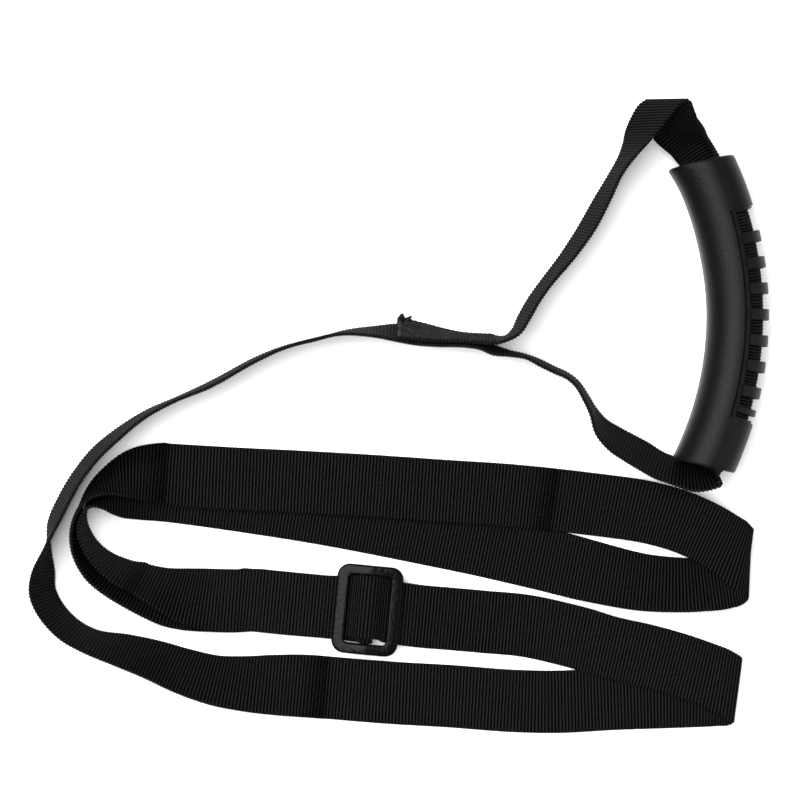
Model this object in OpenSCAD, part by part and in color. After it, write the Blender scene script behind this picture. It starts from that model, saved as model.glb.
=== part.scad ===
// Exercise strap: one length of webbing with a moulded hand grip on a sewn handle loop
// at one end and a loop that a slide buckle adjusts at the other, laid down flat.
// Millimetres, +Z up, lying on z = 0.

/* [Webbing] */
// Width of the webbing
web_w = 25; // [24:0.25:25]
// Thickness of the webbing
web_t = 1.3; // [1:0.05:1.35]
// Longest step between two cross-sections of a stretch
ring_step = 7; // [5:1:12]
// Thickness of a row of sewing thread
thread_t = 0.3; // [0.2:0.05:0.35]

/* [Grip] */
// Radius of the arc that the grip follows
grip_arc_r = 136.2; // [135.8:0.1:136.6]
// Width of the grip along the arc's radius
grip_w = 24.2; // [24:0.1:24.6]
// Height of the grip
grip_h = 28; // [27.8:0.1:28.2]
// Wall thickness of the grip
grip_wall = 1.7; // [1.4:0.1:1.8]
// Half angle of the open window along the arc
window_half = 16.6; // [16:0.1:17]
// Number of ribs across the window
rib_count = 7; // [5:2:7]
// Angle that one rib covers
rib_angle = 1.7; // [1.2:0.1:2.2]

/* [Slide buckle] */
// Length of the buckle along the webbing
buckle_l = 26.4; // [25:0.2:28]
// Width of the buckle across the webbing
buckle_w = 35.6; // [34.6:0.2:35.6]
// Thickness of the buckle's frame
buckle_t = 3; // [2.4:0.2:3.2]
// Width of the frame's window across the webbing
window_w = 27; // [26:0.2:28]
// Width of the two bars that the webbing passes under
end_bar = 4.8; // [4:0.2:5]
// Diameter of the centre bar
bar_d = 3; // [2.4:0.2:3]

/* [Hidden] */

$fn = 64;
black = "#1c1c1e";
plastic = "#242426";
thread_colour = "#101012";
half_w = web_w / 2;
// Moves the whole strap so that the middle of its footprint is the origin
to_origin = [0, 1.95, 0];

// ---- places ----
grip_centre = [-3, 39.5];
grip_mid_z = grip_h / 2;
buckle_at = [-13, -78.2];
// The frame sits this far across from the middle of the webbing
frame_shift = 0.8;
buckle_turn = -5.5;
bar_z = 6.2;

// A cross-section of webbing: [x, y, lift, azimuth of its width, tilt of its width, cup].
// lift is the height of its lowest edge or face above the floor. cup is the half angle
// of the arc that the section curls to, 0 where it is flat.
function laid(x, y, lift, azimuth, tilt) = [x, y, lift, azimuth, tilt, 0];

// Height from a section's lowest edge or face to its middle
function rise(tilt) = half_w * abs(sin(tilt)) + web_t / 2 * abs(cos(tilt));

// Webbing inside the grip, at an angle on its arc, out from the middle of its bore
function in_grip(angle, out, up, tilt, cup) =
    [grip_centre[0] + (grip_arc_r + out) * cos(angle),
     grip_centre[1] + (grip_arc_r + out) * sin(angle),
     grip_mid_z + up - rise(tilt), angle, tilt, cup];

// Webbing along the buckle's own axis, across it level
function at_buckle(along, z) =
    [buckle_at[0] + along * cos(buckle_turn), buckle_at[1] + along * sin(buckle_turn),
     z - rise(180), 90 + buckle_turn, 180, 0];

// Webbing round the buckle's centre bar
function round_bar(angle, radius = bar_d / 2 + web_t / 2 + 0.25) = at_buckle(radius * sin(angle), bar_z - radius * cos(angle));

// ---- the route of the one length of webbing, stretch by stretch ----
handle_tail = [
    laid(0, 34.3, 0.2, -95, 72), laid(8, 32.8, 0.2, -98, 72), laid(16, 31.5, 0.2, -97, 72),
    laid(24, 30.6, 0.2, -95, 73), laid(31, 30, 0.2, -92, 76)];
upper_leg = [
    laid(37, 29.8, 0.2, -88, 82), laid(42, 30.4, 0.2, -70, 86), laid(46, 33.2, 0.2, -42, 84),
    laid(49, 38.6, 0.2, -30, 82), laid(53, 45.6, 0.2, -34, 82), laid(58, 52.6, 0.2, -38, 82),
    laid(66, 62.6, 0.2, -38, 80), laid(73.5, 73.5, 0.2, -32, 78), laid(79.5, 84.5, 0.2, -28, 79),
    laid(84.8, 94.5, 0.4, -27, 82), laid(89.2, 101.5, 2, -26, 80)];
grip_entry = [
    laid(92.2, 106.5, 5, -22, 74), laid(94.8, 111.5, 8.5, -12, 66),
    laid(98, 116.3, 12, -4, 58), laid(101.8, 120.3, 14.5, 2, 51),
    laid(105.4, 121.8, 15.2, 5, 46), laid(108.2, 120, 12.8, 6, 44),
    laid(110, 115, 8.6, 12, 46), in_grip(31, 1.2, -0.6, 54, 44), in_grip(28.5, 3, -2, 54, 58),
    in_grip(25, 4.6, -2.6, 58, 64), in_grip(23, 6.8, -2, 70, 64), in_grip(21, 9.4, 0, 88, 64),
    in_grip(19, 9.4, 0, 90, 64), in_grip(17, 9.4, 0, 90, 64)];
grip_exit = [
    in_grip(-17, 9.4, 0, 90, 64), in_grip(-19, 9.4, 0, 90, 64), in_grip(-21, 9.4, 0, 90, 64),
    in_grip(-24, 8, -1, 84, 62), in_grip(-26, 6.4, -1.1, 80, 52),
    laid(122, -26, 0.2, -80, 78), laid(116, -25.6, 0.2, -98, 74), laid(108, -22.4, 0.2, -114, 67)];
lower_leg = [
    laid(102, -19.6, 0.2, -120, 64), laid(96, -16, 0.2, -121, 63), laid(90, -12.6, 0.2, -121, 64),
    laid(84.5, -9.2, 0.2, -124, 66), laid(79.5, -4.6, 0.2, -138, 72), laid(76.3, 1.4, 0.2, -150, 80),
    laid(73.2, 7.2, 0.2, -150, 82), laid(70, 12.2, 0.2, -136, 83), laid(66, 15.6, 0.2, -118, 84),
    laid(61, 17.9, 0.2, -115, 84), laid(55, 20.8, 0.2, -114, 84), laid(49.5, 23.2, 0.2, -108, 86),
    laid(43.5, 24.4, 0.2, -98, 85), laid(37, 25.8, 0.2, -102, 81)];
handle_sewn = [
    laid(31, 28.1, 0.2, -98, 76), laid(24, 28.8, 0.2, -95, 73), laid(16, 29.7, 0.2, -97, 72),
    laid(8, 31, 0.2, -98, 72), laid(0, 32.5, 0.2, -97, 73)];
lead = [
    laid(-10, 33, 0.2, -90, 80), laid(-22, 32.6, 0.2, -84, 86), laid(-34, 29.8, 0.2, -75, 89),
    laid(-46, 26.6, 0.2, -70, 87), laid(-58, 21.4, 0.2, -65, 85), laid(-74, 12.6, 0.2, -64, 84),
    laid(-88, 6.4, 0.2, -66, 86), laid(-100, 0.6, 0.2, -60, 83), laid(-110, -6.4, 0.2, -52, 79),
    laid(-120, -15, 0.2, -44, 76), laid(-127.6, -24.6, 0.2, -34, 75),
    laid(-133.2, -34.4, 0.2, -24, 74), laid(-137.6, -44, 0.2, -12, 76),
    laid(-139.6, -53, 0.2, -8, 88), laid(-141, -62, 0.2, -2, 102), laid(-141.2, -70, 0.2, 10, 105),
    laid(-137.4, -77.8, 0.2, 32, 105), laid(-130.6, -84.8, 0.2, 52, 105),
    laid(-121.6, -89.6, 0.2, 68, 106), laid(-110, -92.8, 0.2, 72, 114), laid(-98, -96.6, 0.2, 70, 121),
    laid(-86, -101.2, 0.1, 70, 128), laid(-74, -104.8, 0.1, 78, 134), laid(-62, -106.4, 0.1, 84, 143),
    laid(-50, -107.2, 0, 86, 155), laid(-38, -108, 0, 85, 168)];
lower_band = [
    laid(-26, -109.2, 0, 85, 180), laid(-4, -111, 0, 87, 180), laid(20, -112.4, 0, 87, 180),
    laid(44, -114.2, 0, 87, 180), laid(64, -114.6, 0, 91, 180), laid(86, -113.4, 0, 92, 180),
    laid(110, -112.6, 0, 90, 180)];
fold = [
    laid(124, -112, 0, 87, 180), laid(130.5, -111.4, 0.2, 84, 180), laid(133.8, -110.4, 1.4, 83, 180),
    laid(133.8, -109.2, 3.4, 82, 180), laid(130.6, -107.2, 4.6, 81, 180), laid(124, -104, 4.2, 78, 180)];
return_band = [
    laid(112, -99.8, 2.6, 75, 180), laid(98, -95.9, 1.9, 76, 180), laid(84, -92.8, 1.7, 77, 180),
    laid(70, -88.6, 1.5, 79, 180)];
buckle_in = [
    at_buckle(64, web_t / 2), at_buckle(46, web_t / 2), at_buckle(32, 1.6), at_buckle(22, 3.4)];
buckle_bar = [
    at_buckle(15, 4.1), at_buckle(10.5, 4.2), at_buckle(8, 4.7), at_buckle(5.6, 6.2),
    at_buckle(3.6, 8.6), at_buckle(1.9, 9.8), at_buckle(0, 10.2), at_buckle(-1.9, 9.8),
    at_buckle(-3.6, 8.6), at_buckle(-5.6, 6.2), at_buckle(-8, 4.7), at_buckle(-10.5, 4.2),
    at_buckle(-16, 4.15), at_buckle(-30, 4.15)];
buckle_out = [
    at_buckle(-38, 4.1), at_buckle(-48, 3.7), laid(-66, -73.8, 2.6, 86, 172),
    laid(-76, -73, 2.1, 84, 160), laid(-85.4, -71.2, 2, 78, 144)];
inner_turn = [
    laid(-94.1, -68.1, 1.4, 71, 125), laid(-102.2, -64.9, 0.6, 68, 115),
    laid(-110, -61.8, 0.2, 63, 109), laid(-116.9, -57.4, 0.2, 49, 102),
    laid(-121.8, -52.2, 0.2, 31, 97), laid(-124.8, -46.2, 0.2, 11, 93),
    laid(-125.2, -40, 0.2, -4, 87), laid(-122.6, -34.8, 0.2, -35, 82),
    laid(-117.2, -31.8, 0.2, -68, 64), laid(-110, -29.7, 0.2, -87, 37), laid(-100, -29.6, 0, -94, 12)];
second_band = [
    laid(-90, -30.6, 0, -97, 0), laid(-68, -33.6, 0, -98, 0), laid(-38, -38.2, 0, -100, 0),
    laid(-13.6, -42.6, 0, -101, 0), laid(10.4, -47.4, 0, -102, 0), laid(34.4, -52.4, 0, -102, 0),
    laid(58.4, -58, 0, -102, 0), laid(80, -62.6, 0, -102, 2)];
loop_end = [
    laid(96, -65.2, 0, -99, 14), laid(110, -66.6, 0, -94, 25), laid(121, -66.4, 0, -88, 30),
    laid(131, -64, 0.4, -85, 22), laid(136.6, -61.4, 2.6, -88, 12), laid(138.4, -59.2, 6.2, -94, 2),
    laid(135.6, -56.6, 9.4, -104, -8), laid(129, -51.4, 8.4, -112, -14), laid(121, -46.4, 5.6, -112, -14),
    laid(110, -41.8, 3.2, -108, -10), laid(97, -38.4, 2, -104, -4)];
top_band = [
    laid(80, -36, 1.4, -101, 0), laid(58, -33.4, 1.4, -98, 2), laid(40, -31.7, 1.2, -96, 5),
    laid(17, -30.2, 0.6, -94, 7), laid(-12, -28.2, 0.5, -94, 7), laid(-40, -26.6, 0.5, -93, 7),
    laid(-64, -25.4, 0.5, -92, 8), laid(-86, -24, 0.5, -92, 12)];
outer_turn = [
    laid(-98, -22.8, 0.5, -92, 26), laid(-106.8, -23, 0.4, -84, 44), laid(-114.6, -25.4, 0.3, -68, 62),
    laid(-121.4, -29.4, 0.2, -50, 76), laid(-126, -35.4, 0.2, -28, 84), laid(-127.9, -42.6, 0.2, -10, 90),
    laid(-127.5, -50, 0.2, 10, 94), laid(-125, -56.2, 0.2, 30, 98),
    laid(-120.2, -61.9, 0.2, 48, 104), laid(-113.1, -66.3, 0.2, 63, 111),
    laid(-105, -69.8, 0.2, 68, 118), laid(-95.9, -72.4, 0.2, 73, 130)];
anchor = [
    laid(-86, -73.6, 0, 79, 148), laid(-76, -74, 0, 84, 163), laid(-66, -74.3, 0, 86, 174),
    at_buckle(-44, web_t / 2), at_buckle(-40, web_t / 2)];
buckle_tab = [
    at_buckle(-36, web_t / 2), at_buckle(-24, web_t / 2), at_buckle(-12, web_t / 2),
    at_buckle(-7, 0.8), at_buckle(-4.2, 1.9), at_buckle(-2.2, 3.2), round_bar(0),
    round_bar(45), round_bar(90), round_bar(135), round_bar(180),
    round_bar(225), round_bar(270), at_buckle(-3.4, 4.9), at_buckle(-5.2, 3.6),
    at_buckle(-8, 2.5), at_buckle(-12, 2.3), at_buckle(-20, 2.3), at_buckle(-30, 2.3)];

// First half: from the sewn tail through the handle loop as far as the grip's bore
entry_route = concat(handle_tail, upper_leg, grip_entry);
// Second half: from the grip's bore to the tab sewn round the buckle's bar
main_route = concat(
    grip_exit, lower_leg, handle_sewn, lead, lower_band, fold, return_band, buckle_in,
    buckle_bar, buckle_out, inner_turn, second_band, loop_end, top_band, outer_turn, anchor,
    buckle_tab);

// Place of each stretch's first section in its route
leg_from = len(handle_tail) - 1;
entry_from = leg_from + len(upper_leg);
exit_to = len(grip_exit) - 1;
lower_to = exit_to + len(lower_leg) + 1;
sewn_to = lower_to + len(handle_sewn) - 1;
lead_to = sewn_to + len(lead);
lower_band_to = lead_to + len(lower_band);
fold_to = lower_band_to + len(fold);
return_to = fold_to + len(return_band);
in_to = return_to + len(buckle_in) + 1;
bar_to = in_to + len(buckle_bar) - 1;
out_to = bar_to + len(buckle_out);
inner_to = out_to + len(inner_turn);
second_to = inner_to + len(second_band);
end_to = second_to + len(loop_end);
top_to = end_to + len(top_band);
outer_to = top_to + len(outer_turn);
anchor_to = outer_to + len(anchor);
tab_to = len(main_route) - 1;

// ---- sweeping ----
function unit(v) = v / norm(v);
function clamp_index(route, i) = max(0, min(len(route) - 1, i));

// Smooth curve between section i and the next, t from 0 to 1
function spline(a, b, c, d, t) =
    b + (c - a) * t / 2 + (2 * a - 5 * b + 4 * c - d) * t * t / 2
    + (3 * b - a - 3 * c + d) * t * t * t / 2;
function near_sections(route, i) = [for (k = [-1:2]) route[clamp_index(route, i + k)]];
function section_at(route, i, t) =
    let (n = near_sections(route, i)) spline(n[0], n[1], n[2], n[3], t);
function middle_at(route, i, t) =
    let (s = section_at(route, i, t)) [s[0], s[1], s[2] + rise(s[4])];
function slope_at(route, i, t) = middle_at(route, i, t + 0.05) - middle_at(route, i, t - 0.05);

// The four or more corners of one cross-section, round its outline
function ring(section, slope, width, thick, across, shift_w, shift_n) =
    let (
        along = unit(slope),
        side = [cos(section[4]) * cos(section[3]), cos(section[4]) * sin(section[3]), sin(section[4])],
        normal = unit(cross(along, side)),
        skew = max(0.95, norm(cross(along, side))),
        height = half_w / skew * abs(side[2]) + web_t / 2 * abs(normal[2]),
        centre = [section[0], section[1], max(0, section[2]) + height],
        reach = width / 2 / skew,
        cup = across == 1 ? 0 : max(section[5], 0.01),
        curl_r = cup == 0 ? 0 : width * 90 / (PI * cup),
        steps = [for (k = [0:across]) 2 * k / across - 1],
        at = function (s, half) cup == 0
            ? side * (s * reach) + normal * half
            : side * (curl_r - half) * sin(s * cup)
                + normal * (curl_r - (curl_r - half) * cos(s * cup)),
        moved = centre + side * shift_w + normal * shift_n)
    concat(
        [for (s = steps) moved + at(s, thick / 2)],
        [for (k = [across:-1:0]) moved + at(steps[k], -thick / 2)]);

// A closed solid swept from section first to section last of a route
module sweep(route, first, last, width, thick, across = 1, shift_w = 0, shift_n = 0) {
    places = [for (i = [first:last - 1])
        let (
            a = route[i],
            b = route[i + 1],
            parts = max(1, ceil(norm([b[0] - a[0], b[1] - a[1], b[2] - a[2]]) / ring_step)))
        for (k = [0:parts - 1]) [i, k / parts]];
    ends = concat(places, [[last - 1, 1]]);
    rings = [for (p = ends)
        ring(section_at(route, p[0], p[1]), slope_at(route, p[0], p[1]),
            width, thick, across, shift_w, shift_n)];
    count = 2 * across + 2;
    last_ring = len(rings) - 1;
    sides = [for (r = [0:last_ring - 1], k = [0:count - 1])
        let (
            a = r * count + k,
            b = r * count + (k + 1) % count)
        each [[a, b, b + count], [a, b + count, a + count]]];
    first_cap = [for (k = [0:across - 1])
        each [[count - 1 - k, k + 1, k], [count - 1 - k, count - 2 - k, k + 1]]];
    last_cap = [for (f = first_cap) [f[0], f[2], f[1]] + [1, 1, 1] * last_ring * count];
    polyhedron([for (r = rings) each r], concat(sides, first_cap, last_cap));
}

module webbing(route, first, last, across = 1) {
    color(black) translate(to_origin) sweep(route, first, last, web_w, web_t, across);
}

// Rows of thread laid on one face of a sewn stretch, clear of the webbing
module thread_rows(route, first, last, face) {
    color(thread_colour) translate(to_origin)
        for (row = [-8, 0, 8])
            sweep(route, first, last, 0.9, thread_t, 1, row, face * (web_t / 2 + thread_t / 2 + 0.1));
}

// ---- grip ----
module grip_section(radius, half) {
    translate([grip_arc_r, half]) circle(radius);
    translate([grip_arc_r, -half]) circle(radius);
    translate([grip_arc_r, 0]) square([2 * radius, 2 * half], center = true);
}

// Part of a ring about the grip's arc centre, between two angles
module grip_arc(from, to) {
    translate([grip_centre[0], grip_centre[1], grip_mid_z])
        rotate([0, 0, from])
            rotate_extrude(angle = to - from)
                children();
}

body_r = grip_w / 2;
body_half = grip_h / 2 - body_r;
end_angle = 29;
rib_span = 28.4;
rib_pitch = rib_span / rib_count;
window_out = 3.5;
recess_out = 1;
recess_depth = 0.7;

// Everything beyond a slanting plane across one end of the grip
module beyond_end(angle, face_turn) {
    translate([
        grip_centre[0] + grip_arc_r * cos(angle),
        grip_centre[1] + grip_arc_r * sin(angle), 0])
        rotate([0, 0, face_turn])
            translate([-40, 0, -10])
                cube([80, 40, 60]);
}

module grip_ribs() {
    for (k = [0:rib_count - 1])
        grip_arc((k - (rib_count - 1) / 2) * rib_pitch - rib_angle / 2,
            (k - (rib_count - 1) / 2) * rib_pitch + rib_angle / 2)
            difference() {
                grip_section(body_r - 0.1, body_half);
                grip_section(body_r - grip_wall, body_half);
                translate([grip_arc_r - 40 + window_out - 0.3, -30]) square([40, 60]);
            }
}

// Short tooth beside the last rib
module grip_tooth() {
    grip_arc(-15.8, -14.8)
        difference() {
            grip_section(body_r - 0.5, body_half);
            grip_section(body_r - grip_wall, body_half);
            translate([grip_arc_r - 40 + window_out - 0.3, -30]) square([40, 60]);
        }
}

module grip_shell() {
    color(plastic) translate(to_origin) {
        difference() {
            grip_arc(-end_angle, end_angle) grip_section(body_r, body_half);
            grip_arc(-end_angle - 1, end_angle + 1) grip_section(body_r - grip_wall, body_half);
            grip_arc(-window_half, window_half)
                translate([grip_arc_r + window_out, -20]) square([30, 40]);
            grip_arc(-window_half - 0.3, window_half + 0.3)
                difference() {
                    translate([grip_arc_r + recess_out, -20]) square([30, 40]);
                    grip_section(body_r - recess_depth, body_half);
                }
            beyond_end(26.2, 12.8);
            beyond_end(-25.9, 166.9);
        }
        grip_ribs();
        grip_tooth();
    }
}

// The webbing in the grip's bore, curled towards the window
module grip_web() {
    curl_r = web_w * 90 / (PI * 64);
    color(black) translate(to_origin)
        grip_arc(-19, 19)
            translate([grip_arc_r + 9.4 - curl_r, 0])
                difference() {
                    circle(curl_r + web_t / 2);
                    circle(curl_r - web_t / 2);
                    rotate(64) square([20, 20]);
                    rotate(154) square([20, 26]);
                    rotate(206) square([20, 20]);
                }
}

// ---- slide buckle ----
module rounded_plate(length, width, thick, corner) {
    linear_extrude(thick)
        difference() {
            square([length, width], center = true);
            for (x = [-1, 1], y = [-1, 1])
                translate([x * (length / 2 - corner / 2), y * (width / 2 - corner / 2)])
                    square([corner + 0.01, corner + 0.01], center = true);
        }
    for (x = [-1, 1], y = [-1, 1])
        translate([x * (length / 2 - corner), y * (width / 2 - corner), 0])
            cylinder(r = corner, h = thick);
}

roof_angle = 5;
frame_low = 5.1;
ridge_z = frame_low + buckle_l / 2 * tan(roof_angle);

// One sloping half of the frame, on the side that sign names
module half_frame(sign) {
    translate([0, 0, ridge_z])
        rotate([0, sign * roof_angle, 0])
            intersection() {
                difference() {
                    rounded_plate(buckle_l, buckle_w, buckle_t, 5);
                    translate([0, 0, -1])
                        rounded_plate(buckle_l - 2 * end_bar, window_w, buckle_t + 2, 1.5);
                }
                translate([sign > 0 ? -0.15 : -30, -30, -1]) cube([30.15, 60, 10]);
            }
}

module slide_buckle() {
    color(plastic) translate(to_origin)
        translate([buckle_at[0], buckle_at[1], 0])
            rotate([0, 0, buckle_turn]) translate([0, frame_shift, 0]) {
                half_frame(1);
                half_frame(-1);
                translate([0, 0, bar_z])
                    rotate([90, 0, 0])
                        cylinder(d = bar_d, h = window_w + 4, center = true);
            }
}

grip_shell();
grip_web();
webbing(entry_route, entry_from, len(entry_route) - 2, 6);  // grip_entry_web
webbing(main_route, 1, exit_to, 6);  // grip_exit_web
webbing(entry_route, 0, leg_from);  // handle_tail_web
webbing(entry_route, leg_from, entry_from);  // upper_leg_web
webbing(main_route, exit_to, lower_to);  // lower_leg_web
webbing(main_route, lower_to, sewn_to);  // handle_sewn_web
union() {  // handle_stitching
    thread_rows(entry_route, 0, leg_from, -1);
    thread_rows(main_route, lower_to, sewn_to, -1);
}
webbing(main_route, sewn_to, lead_to);  // lead_web
webbing(main_route, lead_to, lower_band_to);  // lower_band_web
webbing(main_route, lower_band_to, fold_to);  // fold_web
webbing(main_route, fold_to, return_to);  // return_web
webbing(main_route, return_to, in_to);  // buckle_in_web
webbing(main_route, in_to, bar_to);  // buckle_bar_web
webbing(main_route, bar_to, out_to);  // buckle_out_web
webbing(main_route, out_to, inner_to);  // inner_turn_web
webbing(main_route, inner_to, second_to);  // second_band_web
webbing(main_route, second_to, end_to);  // loop_end_web
webbing(main_route, end_to, top_to);  // top_band_web
webbing(main_route, top_to, outer_to);  // outer_turn_web
webbing(main_route, outer_to, anchor_to);  // anchor_web
webbing(main_route, anchor_to, tab_to);  // buckle_tab_web
thread_rows(main_route, tab_to - 2, tab_to, 1);  // tab_stitching
slide_buckle();
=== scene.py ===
import math
import random

import bpy
import numpy as np
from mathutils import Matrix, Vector


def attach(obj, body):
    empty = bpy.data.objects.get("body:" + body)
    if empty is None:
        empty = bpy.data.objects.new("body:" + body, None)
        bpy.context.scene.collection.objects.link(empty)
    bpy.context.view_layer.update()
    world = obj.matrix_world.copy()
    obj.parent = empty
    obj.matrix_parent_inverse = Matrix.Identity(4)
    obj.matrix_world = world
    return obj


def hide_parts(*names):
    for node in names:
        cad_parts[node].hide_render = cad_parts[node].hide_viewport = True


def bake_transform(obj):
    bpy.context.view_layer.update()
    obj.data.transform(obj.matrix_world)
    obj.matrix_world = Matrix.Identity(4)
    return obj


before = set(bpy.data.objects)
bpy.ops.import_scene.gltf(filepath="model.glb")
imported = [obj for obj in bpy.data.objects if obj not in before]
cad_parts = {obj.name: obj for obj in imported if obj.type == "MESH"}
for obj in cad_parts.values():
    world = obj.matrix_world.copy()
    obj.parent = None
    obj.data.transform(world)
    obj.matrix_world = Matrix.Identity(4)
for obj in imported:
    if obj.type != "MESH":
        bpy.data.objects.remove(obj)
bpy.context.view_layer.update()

# Metres and degrees, +Z up. The strap lies on z = 0.
# The layout is drawn about its own middle and then moved by TO_ORIGIN.
TO_ORIGIN = np.array([0.0, 0.00195, 0.0])

WEB_W = 0.025
WEB_T = 0.0013
HALF_W = WEB_W / 2
RIB_PITCH = 0.00132
RIB_HEIGHT = 0.00017
RINGS_PER_RIB = 5
# Skewed webbing is widened by 1 / skew, and the skew counts as at least this
LEAST_SKEW = 0.95
# From this many degrees of cup on, the width follows its arc fully
FULL_CUP = 4

# The grip bends round a circle with its centre in the layout's plane
GRIP_CENTRE = (-0.003, 0.0395)
GRIP_ARC_R = 0.1362
GRIP_MID_Z = 0.014

BUCKLE_AT = (-0.013, -0.0782)
BUCKLE_TURN = -5.5
# The frame sits this much off the webbing's middle line
FRAME_SHIFT = 0.0008
BAR_D = 0.003
BAR_Z = 0.0062
BAR_GAP = 0.00025


# ---- camera: straight above the middle of the layout ----
CAMERA_HEIGHT = 1.0
CAMERA_Y = 0.006
camera = bpy.data.objects.new("camera", bpy.data.cameras.new("camera"))
bpy.context.scene.collection.objects.link(camera)
camera.location = (TO_ORIGIN[0], CAMERA_Y + TO_ORIGIN[1], CAMERA_HEIGHT)
camera.data.lens = 112.5
camera.data.sensor_width = 36
bpy.context.scene.camera = camera


# ---- the route of the webbing ----
def sind(a):
    return math.sin(math.radians(a))


def cosd(a):
    return math.cos(math.radians(a))


def rise(tilt):
    """Height from a section's lowest edge or face to its middle"""
    return HALF_W * abs(sind(tilt)) + WEB_T / 2 * abs(cosd(tilt))


def laid(x, y, lift, azimuth, tilt):
    """A station of flat webbing: place, height of its lowest edge, azimuth and tilt of its
    width. The last value of every station is its cup, half the arc that its width makes."""
    return (x, y, lift, azimuth, tilt, 0)


def in_grip(angle, out, up, tilt, cup):
    """A station at an angle round the grip's circle, out from it and up from its middle"""
    radius = GRIP_ARC_R + out
    return (GRIP_CENTRE[0] + radius * cosd(angle), GRIP_CENTRE[1] + radius * sind(angle),
            GRIP_MID_Z + up - rise(tilt), angle, tilt, cup)


def at_buckle(along, z, across=0):
    """A level station with its middle at height z, along and across from the buckle's middle"""
    return (BUCKLE_AT[0] + along * cosd(BUCKLE_TURN) - across * sind(BUCKLE_TURN),
            BUCKLE_AT[1] + along * sind(BUCKLE_TURN) + across * cosd(BUCKLE_TURN),
            z - WEB_T / 2, 90 + BUCKLE_TURN, 180, 0)


def round_bar(angle):
    """A station of the tab round the buckle's bar, at 0 below the bar"""
    radius = BAR_D / 2 + WEB_T / 2 + BAR_GAP
    return at_buckle(radius * sind(angle), BAR_Z - radius * cosd(angle))


HANDLE_TAIL = [
    laid(0, 0.0343, 0.0002, -95, 72), laid(0.008, 0.0328, 0.0002, -98, 74),
    laid(0.016, 0.0315, 0.0002, -97, 78), laid(0.024, 0.0306, 0.0002, -95, 82),
    laid(0.031, 0.03, 0.0002, -92, 82),
]
UPPER_LEG = [
    laid(0.037, 0.0298, 0.0002, -88, 82), laid(0.042, 0.0304, 0.0002, -70, 86),
    laid(0.046, 0.0332, 0.0002, -42, 84), laid(0.049, 0.0386, 0.0002, -30, 82),
    laid(0.053, 0.0456, 0.0002, -34, 82), laid(0.058, 0.0526, 0.0002, -38, 82),
    laid(0.066, 0.0626, 0.0002, -38, 80), laid(0.0735, 0.0735, 0.0002, -32, 78),
    laid(0.0795, 0.0845, 0.0002, -28, 79), laid(0.0848, 0.0945, 0.0004, -27, 82),
    laid(0.0892, 0.1015, 0.002, -26, 80),
]
GRIP_ENTRY = [
    laid(0.0922, 0.1065, 0.005, -22, 74), laid(0.0948, 0.1115, 0.0085, -12, 66),
    laid(0.0976, 0.1163, 0.012, -8, 61), laid(0.1008, 0.1208, 0.0145, -10, 59),
    laid(0.1046, 0.1226, 0.0152, -10, 59), laid(0.1058, 0.1187, 0.0128, 2, 56),
    laid(0.1072, 0.1138, 0.0086, 18, 49), in_grip(31, 0.0012, -0.0006, 54, 44),
    in_grip(28.5, 0.003, -0.002, 54, 58), in_grip(25, 0.0046, -0.0026, 58, 64),
    in_grip(23, 0.0068, -0.002, 70, 64), in_grip(21, 0.0094, 0, 88, 64),
]
IN_BORE = [in_grip(a, 0.0094, 0, 90, 64) for a in (19, 12, 4, -4, -12, -19)]
GRIP_EXIT = [
    in_grip(-21, 0.0094, 0, 90, 64), in_grip(-24, 0.008, -0.001, 84, 62),
    in_grip(-26, 0.0064, -0.0011, 80, 52),
    laid(0.1243, -0.0243, 0.0004, -74, 75), laid(0.1163, -0.0246, 0.0002, -97, 66),
    laid(0.108, -0.0219, 0.0002, -114, 65),
]
LOWER_LEG = [
    laid(0.102, -0.0196, 0.0002, -120, 64), laid(0.096, -0.016, 0.0002, -121, 63),
    laid(0.09, -0.0126, 0.0002, -121, 64), laid(0.0845, -0.0092, 0.0002, -124, 66),
    laid(0.0795, -0.0046, 0.0002, -138, 72), laid(0.0763, 0.0014, 0.0002, -150, 80),
    laid(0.0732, 0.0072, 0.0002, -150, 82), laid(0.07, 0.0122, 0.0002, -136, 83),
    laid(0.066, 0.0156, 0.0002, -118, 84), laid(0.061, 0.0179, 0.0002, -115, 84),
    laid(0.055, 0.0208, 0.0002, -114, 84), laid(0.0495, 0.0232, 0.0002, -108, 86),
    laid(0.0435, 0.0244, 0.0002, -98, 85), laid(0.037, 0.0258, 0.0002, -102, 81),
]
HANDLE_SEWN = [
    laid(0.031, 0.0281, 0.0002, -98, 81), laid(0.024, 0.0288, 0.0002, -95, 82),
    laid(0.016, 0.0297, 0.0002, -97, 78), laid(0.008, 0.031, 0.0002, -98, 74),
    laid(0, 0.0325, 0.0002, -97, 73),
]
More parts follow.
